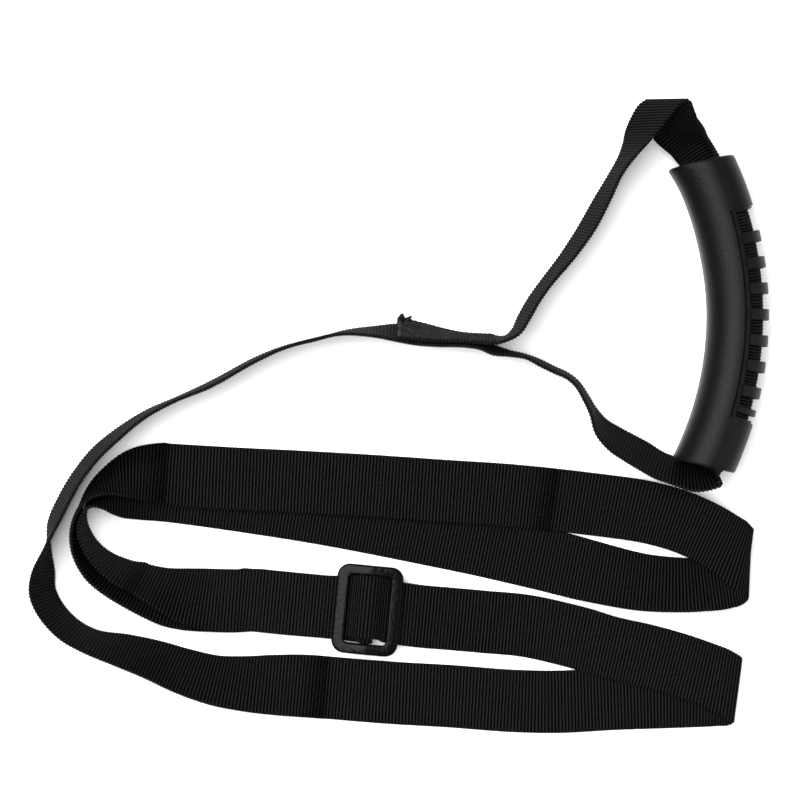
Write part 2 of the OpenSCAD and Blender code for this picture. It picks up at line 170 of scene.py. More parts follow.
LEAD = [
    laid(-0.01, 0.033, 0.0002, -90, 80), laid(-0.022, 0.0326, 0.0002, -84, 86),
    laid(-0.034, 0.0298, 0.0002, -75, 89), laid(-0.046, 0.0266, 0.0002, -70, 87),
    laid(-0.058, 0.0214, 0.0002, -65, 85), laid(-0.074, 0.0126, 0.0002, -64, 84),
    laid(-0.088, 0.0064, 0.0002, -66, 86), laid(-0.1, 0.0006, 0.0002, -60, 83),
    laid(-0.11, -0.0064, 0.0002, -52, 79), laid(-0.12, -0.015, 0.0002, -44, 76),
    laid(-0.1276, -0.0246, 0.0002, -34, 75), laid(-0.1332, -0.0344, 0.0002, -24, 74),
    laid(-0.1376, -0.044, 0.0002, -12, 76), laid(-0.1396, -0.053, 0.0002, -8, 88),
    laid(-0.141, -0.062, 0.0002, -2, 102), laid(-0.1412, -0.07, 0.0002, 10, 105),
    laid(-0.1374, -0.0778, 0.0002, 32, 105), laid(-0.1306, -0.0848, 0.0002, 52, 105),
    laid(-0.1216, -0.0896, 0.0002, 68, 106), laid(-0.11, -0.0928, 0.0002, 72, 114),
    laid(-0.098, -0.0966, 0.0002, 70, 121), laid(-0.086, -0.1012, 0.0001, 70, 128),
    laid(-0.074, -0.1048, 0.0001, 78, 134), laid(-0.062, -0.1064, 0.0001, 84, 143),
    laid(-0.05, -0.1072, 0, 86, 155), laid(-0.038, -0.108, 0, 85, 168),
]
LOWER_BAND = [
    laid(-0.026, -0.1092, 0, 85, 180), laid(-0.004, -0.111, 0, 87, 180),
    laid(0.02, -0.1124, 0, 87, 180), laid(0.044, -0.1142, 0, 87, 180),
    laid(0.064, -0.1146, 0, 91, 180), laid(0.086, -0.1134, 0, 92, 180),
    laid(0.11, -0.1126, 0, 90, 180),
]
FOLD = [
    laid(0.124, -0.112, 0, 87, 180), laid(0.1305, -0.1114, 0.0002, 84, 180),
    laid(0.1338, -0.1104, 0.0014, 83, 180), laid(0.1338, -0.1092, 0.0034, 82, 180),
    laid(0.1306, -0.1072, 0.0046, 81, 180), laid(0.124, -0.104, 0.0042, 78, 180),
]
RETURN_BAND = [
    laid(0.112, -0.0998, 0.0026, 75, 180), laid(0.098, -0.0959, 0.0019, 76, 180),
    laid(0.084, -0.0928, 0.0017, 77, 180), laid(0.07, -0.0886, 0.0015, 79, 180),
]
BUCKLE_IN = [
    at_buckle(0.064, WEB_T / 2), at_buckle(0.046, WEB_T / 2), at_buckle(0.032, 0.0018),
    at_buckle(0.022, 0.0034),
]
BUCKLE_BAR = [
    at_buckle(0.015, 0.0041, 0.0003), at_buckle(0.0105, 0.0042, 0.0006),
    at_buckle(0.008, 0.0047, 0.0011), at_buckle(0.0056, 0.0062, 0.0018),
    at_buckle(0.0036, 0.0086, 0.0021), at_buckle(0.0019, 0.0098, 0.0021),
    at_buckle(0, 0.0102, 0.0021), at_buckle(-0.0019, 0.0098, 0.0021),
    at_buckle(-0.0036, 0.0086, 0.0021), at_buckle(-0.0056, 0.0062, 0.0018),
    at_buckle(-0.008, 0.0047, 0.0015), at_buckle(-0.0105, 0.0042, 0.0009),
    at_buckle(-0.016, 0.00415, 0.0003), at_buckle(-0.03, 0.00415),
]
BUCKLE_OUT = [
    at_buckle(-0.038, 0.0041), at_buckle(-0.048, 0.0037), laid(-0.066, -0.0738, 0.0026, 86, 172),
    laid(-0.076, -0.073, 0.0021, 84, 160), laid(-0.0854, -0.0712, 0.002, 78, 144),
]
INNER_TURN = [
    laid(-0.0941, -0.0681, 0.0014, 71, 125), laid(-0.1022, -0.0649, 0.0006, 68, 115),
    laid(-0.11, -0.0618, 0.0002, 63, 109), laid(-0.1169, -0.0574, 0.0002, 49, 102),
    laid(-0.1218, -0.0522, 0.0002, 31, 97), laid(-0.1248, -0.0462, 0.0002, 11, 93),
    laid(-0.1252, -0.04, 0.0002, -4, 87), laid(-0.1226, -0.0348, 0.0002, -35, 82),
    laid(-0.1172, -0.0318, 0.0002, -68, 64), laid(-0.11, -0.0297, 0.0002, -87, 37),
    laid(-0.1, -0.0296, 0, -94, 12),
]
SECOND_BAND = [
    laid(-0.09, -0.0306, 0, -97, 0), laid(-0.068, -0.0336, 0, -98, 0),
    laid(-0.038, -0.0382, 0, -100, 0), laid(-0.0136, -0.0426, 0, -101, 0),
    laid(0.0104, -0.0474, 0, -102, 0), laid(0.0344, -0.0524, 0, -102, 0),
    laid(0.0584, -0.058, 0, -102, 0), laid(0.08, -0.0631, 0, -102, 18),
]
LOOP_END = [
    laid(0.096, -0.0663, 0, -99, 28), laid(0.11, -0.0673, 0, -94, 34), laid(0.121, -0.067, 0, -88, 37),
    laid(0.131, -0.0642, 0.0004, -85, 26), laid(0.1366, -0.0614, 0.0026, -88, 12),
    laid(0.1384, -0.0592, 0.0062, -94, 2), laid(0.1356, -0.0566, 0.0094, -104, -8),
    laid(0.129, -0.0514, 0.0084, -112, -14), laid(0.121, -0.0464, 0.0056, -112, -14),
    laid(0.11, -0.0418, 0.0032, -108, -10), laid(0.097, -0.0384, 0.002, -104, -4),
]
TOP_BAND = [
    laid(0.08, -0.036, 0.0014, -101, 0), laid(0.058, -0.0334, 0.0014, -98, 2),
    laid(0.04, -0.0317, 0.0012, -96, 5), laid(0.017, -0.0302, 0.0006, -94, 7),
    laid(-0.012, -0.0282, 0.0005, -94, 7), laid(-0.04, -0.0266, 0.0005, -93, 7),
    laid(-0.064, -0.0254, 0.0005, -92, 8), laid(-0.086, -0.024, 0.0005, -92, 12),
]
OUTER_TURN = [
    laid(-0.098, -0.0228, 0.0005, -92, 26), laid(-0.1068, -0.023, 0.0004, -84, 44),
    laid(-0.1146, -0.0254, 0.0003, -68, 62), laid(-0.1214, -0.0294, 0.0002, -50, 76),
    laid(-0.126, -0.0354, 0.0002, -28, 84), laid(-0.1279, -0.0426, 0.0002, -10, 90),
    laid(-0.1275, -0.05, 0.0002, 10, 94), laid(-0.125, -0.0562, 0.0002, 30, 98),
    laid(-0.1202, -0.0619, 0.0002, 48, 104), laid(-0.1131, -0.0663, 0.0002, 63, 111),
    laid(-0.105, -0.0698, 0.0002, 68, 118), laid(-0.0959, -0.0724, 0.0002, 73, 130),
]
ANCHOR = [
    laid(-0.086, -0.0736, 0, 79, 148), laid(-0.076, -0.074, 0, 84, 163),
    laid(-0.066, -0.0743, 0, 86, 174), at_buckle(-0.044, WEB_T / 2), at_buckle(-0.04, WEB_T / 2),
]
BUCKLE_TAB = [
    at_buckle(-0.036, WEB_T / 2), at_buckle(-0.024, WEB_T / 2), at_buckle(-0.012, WEB_T / 2),
    at_buckle(-0.007, 0.0008), at_buckle(-0.0042, 0.0019), at_buckle(-0.0022, 0.0032), round_bar(0),
    round_bar(45), round_bar(90), round_bar(135), round_bar(180), round_bar(225), round_bar(270),
    at_buckle(-0.0034, 0.0049), at_buckle(-0.0052, 0.0036), at_buckle(-0.008, 0.0025),
    at_buckle(-0.012, 0.0023), at_buckle(-0.02, 0.0023), at_buckle(-0.03, 0.0023),
]


# ---- webbing as a swept, ribbed mesh ----
def spline(a, b, c, d, t):
    return (b + (c - a) * t / 2 + (2 * a - 5 * b + 4 * c - d) * t * t / 2
            + (3 * b - a - 3 * c + d) * t ** 3 / 2)


def sections(route, places):
    """Smoothly interpolated sections at places counted in stations"""
    route = np.array(route, float)
    i = np.clip(places.astype(int), 0, len(route) - 2)
    t = (places - i)[:, None]
    near = [route[np.clip(i + k, 0, len(route) - 1)] for k in (-1, 0, 1, 2)]
    return spline(*near, t)


def unit(v):
    return v / np.linalg.norm(v, axis=-1, keepdims=True)


def frames(route, places):
    """Middle, width direction, face normal and skew of the webbing at places on its route"""
    def rough_middle(p):
        s = sections(route, p)
        tilt = np.radians(s[:, 4])
        lift = s[:, 2] + HALF_W * abs(np.sin(tilt)) + WEB_T / 2 * abs(np.cos(tilt))
        return np.column_stack([s[:, 0], s[:, 1], lift])
    s = sections(route, places)
    along = unit(rough_middle(places + 0.05) - rough_middle(places - 0.05))
    azimuth, tilt = np.radians(s[:, 3]), np.radians(s[:, 4])
    side = np.column_stack([np.cos(tilt) * np.cos(azimuth), np.cos(tilt) * np.sin(azimuth),
                            np.sin(tilt)])
    normal = np.cross(along, side)
    skew = np.maximum(LEAST_SKEW, np.linalg.norm(normal, axis=1))
    normal = unit(normal)
    height = HALF_W / skew * abs(side[:, 2]) + WEB_T / 2 * abs(normal[:, 2])
    middle = np.column_stack([s[:, 0], s[:, 1], np.maximum(0, s[:, 2]) + height]) + TO_ORIGIN
    return middle, side, normal, skew, s[:, 5]


def arc_length(route, steps_each=80):
    """Places on a route, steps_each to a station, and how far along it each one is"""
    places = np.linspace(0, len(route) - 1, (len(route) - 1) * steps_each + 1)
    middle = frames(route, places)[0]
    steps = np.linalg.norm(np.diff(middle, axis=0), axis=1)
    return places, np.concatenate([[0], np.cumsum(steps)])


# Across the webbing: place from edge to edge, share of the full thickness there
COLUMNS = np.array([-1, -0.988, -0.955, -0.9, -0.62, -0.31, 0, 0.31, 0.62, 0.9, 0.955, 0.988, 1])
FULLNESS = np.array([0.3, 0.75, 1.04, 0.96, 1, 1, 1, 1, 1, 0.96, 1.04, 0.75, 0.3])


def mesh_object(name, verts, faces, material, groove=None, uv=None):
    """An object with smooth faces; groove is a value per point, uv a place per point"""
    mesh = bpy.data.meshes.new(name)
    mesh.from_pydata([tuple(v) for v in verts], [], [tuple(f) for f in faces])
    mesh.update()
    if groove is not None:
        layer = mesh.attributes.new("groove", "FLOAT", "POINT")
        layer.data.foreach_set("value", np.asarray(groove, np.float32))
    if uv is not None:
        loops = np.zeros(len(mesh.loops), np.int32)
        mesh.loops.foreach_get("vertex_index", loops)
        layer = mesh.uv_layers.new(name="weave")
        layer.data.foreach_set("uv", np.asarray(uv, np.float32)[loops].ravel())
    mesh.polygons.foreach_set("use_smooth", [True] * len(mesh.polygons))
    mesh.set_sharp_from_angle(angle=math.radians(50))
    mesh.materials.append(material)
    obj = bpy.data.objects.new(name, mesh)
    bpy.context.scene.collection.objects.link(obj)
    return obj


def ring_faces(rings, count):
    """Quads between rings of count points each, closed round and open at both ends"""
    r = np.arange(rings - 1)[:, None] * count
    k = np.arange(count)[None, :]
    n = (k + 1) % count
    return np.stack([r + k, r + n, r + n + count, r + k + count], axis=-1).reshape(-1, 4)


# How much painted shade darkens the weave's colour in a crease, in the units of its groove value
CREASE_SHADE = 0.7


def webbing(name, route, first, last, creases=()):
    """A stretch of webbing from station first to station last, with its ribs as geometry.
    creases are (station, height, width before, width after) of folds pressed across it."""
    places, along = arc_length(route)
    start, end = np.interp([first, last], places, along)
    rings = int(round((end - start) / RIB_PITCH * RINGS_PER_RIB)) + 1
    length = np.linspace(start, end, rings)
    middle, side, normal, skew, cup = frames(route, np.interp(length, along, places))
    wave = np.cos(2 * math.pi * length / RIB_PITCH)
    rib = np.sign(wave) * abs(wave) ** 0.7
    # pressed weighs the painted shade of each crease, which darkens the weave's colour there
    raised, pressed = np.zeros(rings), np.zeros(rings)
    for station, height, before, after in creases:
        away = length - np.interp(station, places, along)
        spread = np.where(away < 0, before, after)
        raised += np.sign(normal[:, 2]) * height * np.exp(-(away / spread) ** 2)
        pressed += np.exp(-(away / (1.3 * spread)) ** 2)
    edge = 1 + 0.006 * rib
    outline = []
    for face in (1, -1):
        for s, full in list(zip(COLUMNS, FULLNESS))[::face]:
            half = face * (WEB_T / 2 * full + RIB_HEIGHT * rib * min(1, full + 0.1) * (full > 0.5))
            reach = s * edge * HALF_W / skew
            flat = side * reach[:, None] + normal * (half + raised)[:, None]
            bend = np.radians(np.maximum(cup, 0.01))
            curl = HALF_W / bend
            turned = (side * ((curl - half) * np.sin(s * bend))[:, None]
                      + normal * (curl - (curl - half) * np.cos(s * bend))[:, None])
            share = np.clip(cup / FULL_CUP, 0, 1)[:, None]
            outline.append(middle + flat * (1 - share) + turned * share)
    verts = np.stack(outline, axis=1)
    count = verts.shape[1]
    faces = ring_faces(rings, count)[:, ::-1].tolist()
    faces.append(list(range(count)))
    faces.append(list(range((rings - 1) * count, rings * count))[::-1])
    across = np.concatenate([COLUMNS, COLUMNS[::-1]]) * HALF_W
    uv = np.stack([np.broadcast_to(across, (rings, count)),
                   np.broadcast_to(length[:, None], (rings, count))], axis=-1).reshape(-1, 2)
    # The groove value paints shade into the weave's colour: darker in the valleys between the ribs,
    # darker still in the creases
    groove = np.broadcast_to((rib - CREASE_SHADE * pressed)[:, None], (rings, count)).reshape(-1)
    obj = mesh_object(name, verts.reshape(-1, 3), faces, webbing_material, groove, uv * 100)
    obj["stretch"] = float(end - start)
    return obj


# ---- materials ----
def material(name):
    made = bpy.data.materials.new(name)
    made.use_nodes = True
    return made, made.node_tree.nodes, made.node_tree.links, made.node_tree.nodes["Principled BSDF"]


def mix_ramp(nodes, links, value, stops):
    """A colour ramp with two stops, each a position and a colour, driven by value"""
    ramp = nodes.new("ShaderNodeValToRGB")
    ramp.color_ramp.elements[0].position, ramp.color_ramp.elements[0].color = stops[0]
    ramp.color_ramp.elements[1].position, ramp.color_ramp.elements[1].color = stops[1]
    links.new(value, ramp.inputs["Fac"])
    return ramp


def make_webbing_material():
    made, nodes, links, shader = material("black webbing")
    shader.inputs["Roughness"].default_value = 0.7
    shader.inputs["Specular IOR Level"].default_value = 0.012
    uv = nodes.new("ShaderNodeUVMap")
    uv.uv_map = "weave"
    groove = nodes.new("ShaderNodeAttribute")
    groove.attribute_name = "groove"
    yarns = nodes.new("ShaderNodeTexWave")
    yarns.wave_type = "BANDS"
    yarns.bands_direction = "X"
    yarns.inputs["Scale"].default_value = 5.2
    yarns.inputs["Distortion"].default_value = 0.6
    yarns.inputs["Detail"].default_value = 1.0
    links.new(uv.outputs["UV"], yarns.inputs["Vector"])
    fibre = nodes.new("ShaderNodeTexNoise")
    fibre.inputs["Scale"].default_value = 14
    fibre.inputs["Detail"].default_value = 3
    links.new(uv.outputs["UV"], fibre.inputs["Vector"])
    weave = nodes.new("ShaderNodeMath")
    weave.operation = "MULTIPLY_ADD"
    links.new(yarns.outputs["Fac"], weave.inputs[0])
    weave.inputs[1].default_value = 0.2
    links.new(fibre.outputs["Fac"], weave.inputs[2])
    # Painted shade: the groove value darkens the base colour in the rib valleys and the creases; the
    # yarn bands and fibre noise are the weave's own tone
    shade = nodes.new("ShaderNodeMath")
    shade.operation = "MULTIPLY_ADD"
    links.new(groove.outputs["Fac"], shade.inputs[0])
    shade.inputs[1].default_value = 0.42
    links.new(weave.outputs["Value"], shade.inputs[2])
    ramp = mix_ramp(nodes, links, shade.outputs["Value"],
                    [(0.42, (0.0002, 0.0002, 0.0002, 1)), (1.0, (0.0094, 0.0094, 0.0097, 1))])
    links.new(ramp.outputs["Color"], shader.inputs["Base Color"])
    bump = nodes.new("ShaderNodeBump")
    bump.inputs["Strength"].default_value = 0.5
    bump.inputs["Distance"].default_value = 0.00012
    links.new(weave.outputs["Value"], bump.inputs["Height"])
    links.new(bump.outputs["Normal"], shader.inputs["Normal"])
    return made


def make_plastic_material(name, colour, roughness, grain, specular):
    made, nodes, links, shader = material(name)
    shader.inputs["Base Color"].default_value = colour
    shader.inputs["Roughness"].default_value = roughness
    shader.inputs["Specular IOR Level"].default_value = specular
    shader.inputs["Specular Tint"].default_value = (0.92, 0.95, 1, 1)
    place = nodes.new("ShaderNodeTexCoord")
    noise = nodes.new("ShaderNodeTexNoise")
    noise.inputs["Scale"].default_value = grain
    noise.inputs["Detail"].default_value = 2
    links.new(place.outputs["Object"], noise.inputs["Vector"])
    bump = nodes.new("ShaderNodeBump")
    bump.inputs["Strength"].default_value = 1.0
    bump.inputs["Distance"].default_value = 0.00016
    links.new(noise.outputs["Fac"], bump.inputs["Height"])
    links.new(bump.outputs["Normal"], shader.inputs["Normal"])
    return made


def make_thread_material():
    made, nodes, links, shader = material("black thread")
    shader.inputs["Roughness"].default_value = 0.55
    shader.inputs["Specular IOR Level"].default_value = 0.06
    place = nodes.new("ShaderNodeTexCoord")
    noise = nodes.new("ShaderNodeTexNoise")
    noise.inputs["Scale"].default_value = 900
    links.new(place.outputs["Object"], noise.inputs["Vector"])
    ramp = mix_ramp(nodes, links, noise.outputs["Fac"],
                    [(0.4, (0.0003, 0.0003, 0.0003, 1)), (0.65, (0.011, 0.011, 0.0112, 1))])
    links.new(ramp.outputs["Color"], shader.inputs["Base Color"])
    return made


webbing_material = make_webbing_material()
thread_material = make_thread_material()
grip_material = make_plastic_material("grip plastic", (0.0028, 0.0029, 0.0033, 1),
                                      roughness=0.4, grain=1500, specular=0.075)
buckle_material = make_plastic_material("buckle plastic", (0.0009, 0.0009, 0.0011, 1),
                                        roughness=0.22, grain=700, specular=0.055)


# ---- the webbing's pieces ----
# Each piece runs between two stations of a route, which are counted here
handle_route = (HANDLE_TAIL + UPPER_LEG + GRIP_ENTRY + IN_BORE + GRIP_EXIT + LOWER_LEG
                + HANDLE_SEWN + LEAD)
main_route = (HANDLE_SEWN + LEAD + LOWER_BAND + FOLD + RETURN_BAND + BUCKLE_IN + BUCKLE_BAR
              + BUCKLE_OUT + INNER_TURN + SECOND_BAND + LOOP_END + TOP_BAND + OUTER_TURN
              + ANCHOR + BUCKLE_TAB)
sewn_end = len(handle_route) - len(LEAD) - 1
sewn_to = len(HANDLE_SEWN) - 1
return_to = sewn_to + len(LEAD + LOWER_BAND + FOLD + RETURN_BAND)
in_to = return_to + len(BUCKLE_IN) + 1
bar_to = in_to + len(BUCKLE_BAR) - 1
out_to = bar_to + len(BUCKLE_OUT)
outer_to = out_to + len(INNER_TURN + SECOND_BAND + LOOP_END + TOP_BAND + OUTER_TURN)
anchor_to = outer_to + len(ANCHOR)
tab_to = len(main_route) - 1
top_from = out_to + len(INNER_TURN + SECOND_BAND + LOOP_END) + 1

# Folds pressed across the webbing: station, height, width of the slope before and after it
lead_creases = [(sewn_to + len(LEAD) + 0.62, 0.0009, 0.0045, 0.0016)]
loop_creases = [(out_to + 2.2, 0.0006, 0.0012, 0.003), (top_from + 0.9, 0.001, 0.0016, 0.0045),
                (top_from + 7.67, 0.0009, 0.0014, 0.004)]

handle = webbing("handle_loop_webbing", handle_route, 0, sewn_end)
lead = webbing("lead_webbing", main_route, sewn_to, return_to, lead_creases)
feed_in = webbing("feed_in_webbing", main_route, return_to, in_to)
feed_bar = webbing("feed_over_bar_webbing", main_route, in_to, bar_to)
feed_out = webbing("feed_out_webbing", main_route, bar_to, out_to)
loop = webbing("adjustable_loop_webbing", main_route, out_to, outer_to, loop_creases)
anchor = webbing("anchor_webbing", main_route, outer_to, anchor_to)
tab = webbing("buckle_tab_webbing", main_route, anchor_to, tab_to)

for piece, nodes in (
        (handle, ("handle_tail_web", "upper_leg_web", "grip_entry_web", "grip_web",
                  "grip_exit_web", "lower_leg_web", "handle_sewn_web")),
        (lead, ("lead_web", "lower_band_web", "fold_web", "return_web")),
        (feed_in, ("buckle_in_web",)),
        (feed_bar, ("buckle_bar_web",)),
        (feed_out, ("buckle_out_web",)),
        (loop, ("inner_turn_web", "second_band_web", "loop_end_web", "top_band_web",
                "outer_turn_web")),
        (anchor, ("anchor_web",)),
        (tab, ("buckle_tab_web",))):
    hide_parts(*nodes)

for piece in (handle, lead, loop):
    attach(piece, "strap")
for piece in (feed_bar, tab):
    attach(piece, "buckle")


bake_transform(feed_in)
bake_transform(feed_out)
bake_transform(anchor)


# ---- the grip ----
# "angle" goes along the grip's bend, "turn" goes round its body from its outer side
GRIP_RADIUS = 0.0121
GRIP_FLAT = 0.0019
GRIP_WALL = 0.0017
END_FROM = 22.4
WINDOW_ANGLE = 16.6
WINDOW_TURN = 73.2
RECESS_ANGLE = 16.95
RECESS_TURN = 85.3
RECESS_DEPTH = 0.0008
GROOVE_TURN = 3
GROOVE_DEPTH = 0.0006
RIB_SPAN = 28.4
RIB_COUNT = 7
RIB_HALF_ANGLE = 0.85
RIB_DROP = 0.0001
# One short extra tooth at the lower end of the window
TOOTH = (-15.8, -14.8)
# The inner side is a little fuller towards the upper end, and flares at its tip
FULLER = 0.0003
FLARE = 0.0009
# The rim is rounded off by this much over the last share of the tip
RIM_DROP = 0.0004
RIM_SHARE = 0.14
# Slanting end faces: place at the circle and direction of the face
UPPER_END = (26.2, 12.8)
LOWER_END = (-25.9, 166.9)


def step(value, low, high):
    """0 below low, 1 above high and smooth between"""
    t = min(1, max(0, (value - low) / (high - low)))
    return t * t * (3 - 2 * t)


def rib_centres():
    return [(k - (RIB_COUNT - 1) / 2) * RIB_SPAN / RIB_COUNT for k in range(RIB_COUNT)]


def on_rib(angle):
    return (any(abs(angle - c) < RIB_HALF_ANGLE for c in rib_centres())
            or TOOTH[0] < angle < TOOTH[1])


def end_angle(out, at, turn):
    """Where the slanting end face meets the circle at this distance out, as an angle"""
    px, py = GRIP_ARC_R * cosd(at), GRIP_ARC_R * sind(at)
    dx, dy = cosd(turn), sind(turn)
    radius = GRIP_ARC_R + out
    b = px * dx + py * dy
    c = px * px + py * py - radius * radius
    roots = [-b - math.sqrt(b * b - c), -b + math.sqrt(b * b - c)]
    s = min(roots, key=abs)
    return math.degrees(math.atan2(py + s * dy, px + s * dx))


def grip_rows():
    """Angles of the rows of points, doubled up at each edge"""
    edges = [-RECESS_ANGLE, RECESS_ANGLE, -WINDOW_ANGLE, WINDOW_ANGLE, *TOOTH]
    for c in rib_centres():
        edges += [c - RIB_HALF_ANGLE, c + RIB_HALF_ANGLE]
    rows = []
    for e in edges:
        rows += [e - 0.02, e + 0.02]
    for k in range(-44, 45):
        if all(abs(k * 0.5 - r) > 0.16 for r in rows):
            rows.append(k * 0.5)
    return sorted(rows)


def grip_columns():
    """Turns of the columns of points, doubled up at each edge"""
    turns = [s * t for s in (-1, 1) for t in
             (WINDOW_TURN - 0.1, WINDOW_TURN + 0.1, RECESS_TURN - 4.4, RECESS_TURN - 2.8,
              RECESS_TURN - 0.6, RECESS_TURN + 0.6)]
    turns += [t for t in range(-180, 180, 4) if all(abs(t - u) > 1.6 for u in turns)]
    return sorted(turns)


def grip_point(angle, turn, tip):
    """A point of the outer skin; tip is 0 on the body and rises to 1 at the very end"""
    concave = step(-cosd(turn), 0.2, 1)
    radius = GRIP_RADIUS + FULLER * concave * step(angle, 0, 12)
    on_bridge = on_rib(angle) and abs(turn) < WINDOW_TURN
    if abs(angle) < RECESS_ANGLE and abs(turn) < RECESS_TURN and not on_bridge:
        groove = GROOVE_DEPTH if abs(turn) > RECESS_TURN - GROOVE_TURN else 0
        radius -= RECESS_DEPTH + groove
    if on_bridge and abs(angle) < WINDOW_ANGLE:
        radius -= RIB_DROP
    if angle > 0:
        radius += FLARE * concave * tip ** 2
    if tip > 1 - RIM_SHARE:
        radius -= RIM_DROP * ((tip - 1 + RIM_SHARE) / RIM_SHARE) ** 2
    # Two half rounds with a flat of 2 * GRIP_FLAT between them
    spread = max(-1, min(1, sind(turn) * 6))
    out, up = radius * cosd(turn), radius * sind(turn) + GRIP_FLAT * spread
    if tip > 0:
        last = end_angle(out, *(UPPER_END if angle > 0 else LOWER_END))
        at = math.copysign(END_FROM, angle)
        angle = at + (last - at) * tip
    r = GRIP_ARC_R + out
    return (GRIP_CENTRE[0] + r * cosd(angle) + TO_ORIGIN[0],
            GRIP_CENTRE[1] + r * sind(angle) + TO_ORIGIN[1], GRIP_MID_Z + up)


def grip_mesh():
    """The outer skin as a grid of points, with the window's faces left out"""
    shares = [0.12, 0.3, 0.5, 0.7, 0.86, 0.93, 0.98, 1]
    rows = [(-END_FROM, s) for s in reversed(shares)]
    rows += [(a, 0) for a in grip_rows()]
    rows += [(END_FROM, s) for s in shares]
    turns = grip_columns()
    verts = [grip_point(a, t, s) for a, s in rows for t in turns]
    count = len(turns)
    faces = []
    for i in range(len(rows) - 1):
        angle = (rows[i][0] + rows[i + 1][0]) / 2
        for k in range(count):
            n = (k + 1) % count
            turn = (turns[k] + (turns[n] if n else 180)) / 2
            if abs(angle) < WINDOW_ANGLE and abs(turn) < WINDOW_TURN and not on_rib(angle):
                continue
            faces.append((i * count + k, (i + 1) * count + k, (i + 1) * count + n, i * count + n))
    return verts, faces


grip = mesh_object("hand_grip", *grip_mesh(), grip_material)
thick = grip.modifiers.new("wall", "SOLIDIFY")
thick.thickness = GRIP_WALL
thick.offset = -1
soften = grip.modifiers.new("soft edges", "BEVEL")
soften.width = 0.0003
soften.segments = 2
soften.angle_limit = math.radians(50)
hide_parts("grip_shell")
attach(grip, "grip")


# ---- the slide buckle ----
BUCKLE_L, BUCKLE_W, BUCKLE_T = 0.0264, 0.0356, 0.003
BUCKLE_CORNER = 0.005
WINDOW_L, WINDOW_W = 0.0168, 0.027
WINDOW_CORNER = 0.0015
EDGE_ROUND = 0.0009
# The frame is bent like a low roof, with its ridge over the bar
ROOF_ANGLE = 5
RIDGE_Z = 0.0051 + BUCKLE_L / 2 * math.tan(math.radians(ROOF_ANGLE))


def rounded_outline(length, width, corner):
    """Points round a rounded rectangle, the same count on every side and corner"""
    points = []
    for quarter in range(4):
        sx, sy = ((1, 1), (-1, 1), (-1, -1), (1, -1))[quarter]
        cx, cy = sx * (length / 2 - corner), sy * (width / 2 - corner)
        for k in range(9):
            a = quarter * 90 + k * 90 / 8
            points.append((cx + corner * cosd(a), cy + corner * sind(a)))
        ex, ey = points[-1]
        nx, ny = ((-1, 1), (-1, -1), (1, -1), (1, 1))[quarter]
        corner_x, corner_y = nx * (length / 2 - corner), ny * (width / 2 - corner)
        a = (quarter + 1) * 90
        fx, fy = corner_x + corner * cosd(a), corner_y + corner * sind(a)
        for k in range(1, 10):
            t = k / 10
            points.append((ex + (fx - ex) * t, ey + (fy - ey) * t))
    return np.array(points)


def buckle_mesh():
    """The frame: a profile with rounded edges, taken round between the two outlines"""
    outer = rounded_outline(BUCKLE_L, BUCKLE_W, BUCKLE_CORNER)
    inner = rounded_outline(WINDOW_L, WINDOW_W, WINDOW_CORNER)
    width = np.linalg.norm(inner - outer, axis=1)
    top = [(EDGE_ROUND * (1 - cosd(a)), BUCKLE_T - EDGE_ROUND * (1 - sind(a)))
           for a in range(0, 91, 15)]
    low = [(d, BUCKLE_T - z) for d, z in reversed(top)]
    profile = [(d, z, False) for d, z in low + top]
    profile += [(d, z, True) for d, z in reversed(low + top)]
    rings = []
    for d, z, from_inner in profile:
        share = (d / width)[:, None]
        at = inner + (outer - inner) * share if from_inner else outer + (inner - outer) * share
        height = RIDGE_Z + z - abs(at[:, 0]) * math.tan(math.radians(ROOF_ANGLE))
        rings.append(np.column_stack([at, height]))
    verts = np.stack(rings, axis=1)
    points, count = verts.shape[:2]
    r, k = np.arange(points)[:, None], np.arange(count)[None, :]
    rn, kn = (r + 1) % points, (k + 1) % count
    faces = np.stack([r * count + k, rn * count + k, rn * count + kn, r * count + kn],
                     axis=-1).reshape(-1, 4)
    return verts.reshape(-1, 3), faces


def bar_mesh(turns=24):
    """The centre bar, with its ends sunk in the frame's sides"""
    half = (WINDOW_W + 0.004) / 2
    rings = [(-half, 0.8), (-half + 0.0003, 1), (half - 0.0003, 1), (half, 0.8)]
    verts = [(BAR_D / 2 * s * cosd(k * 360 / turns), y,
              BAR_Z + BAR_D / 2 * s * sind(k * 360 / turns))
             for y, s in rings for k in range(turns)]
    faces = ring_faces(len(rings), turns)[:, ::-1].tolist()
    faces.append(list(range(turns)))
    faces.append(list(range(3 * turns, 4 * turns))[::-1])
    return verts, faces


def place_on_buckle(obj):
    """Move a mesh drawn about the frame's middle to its place on the webbing"""
    turn = math.radians(BUCKLE_TURN)
    for v in obj.data.vertices:
        x, y = v.co.x, v.co.y + FRAME_SHIFT
        v.co.x = BUCKLE_AT[0] + TO_ORIGIN[0] + x * math.cos(turn) - y * math.sin(turn)
        v.co.y = BUCKLE_AT[1] + TO_ORIGIN[1] + x * math.sin(turn) + y * math.cos(turn)
    return obj


frame_ring = place_on_buckle(mesh_object("slide_buckle_frame", *buckle_mesh(), buckle_material))
bar = place_on_buckle(mesh_object("slide_buckle_bar", *bar_mesh(), buckle_material))
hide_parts("slide_buckle")
for piece in (frame_ring, bar):
    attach(piece, "buckle")


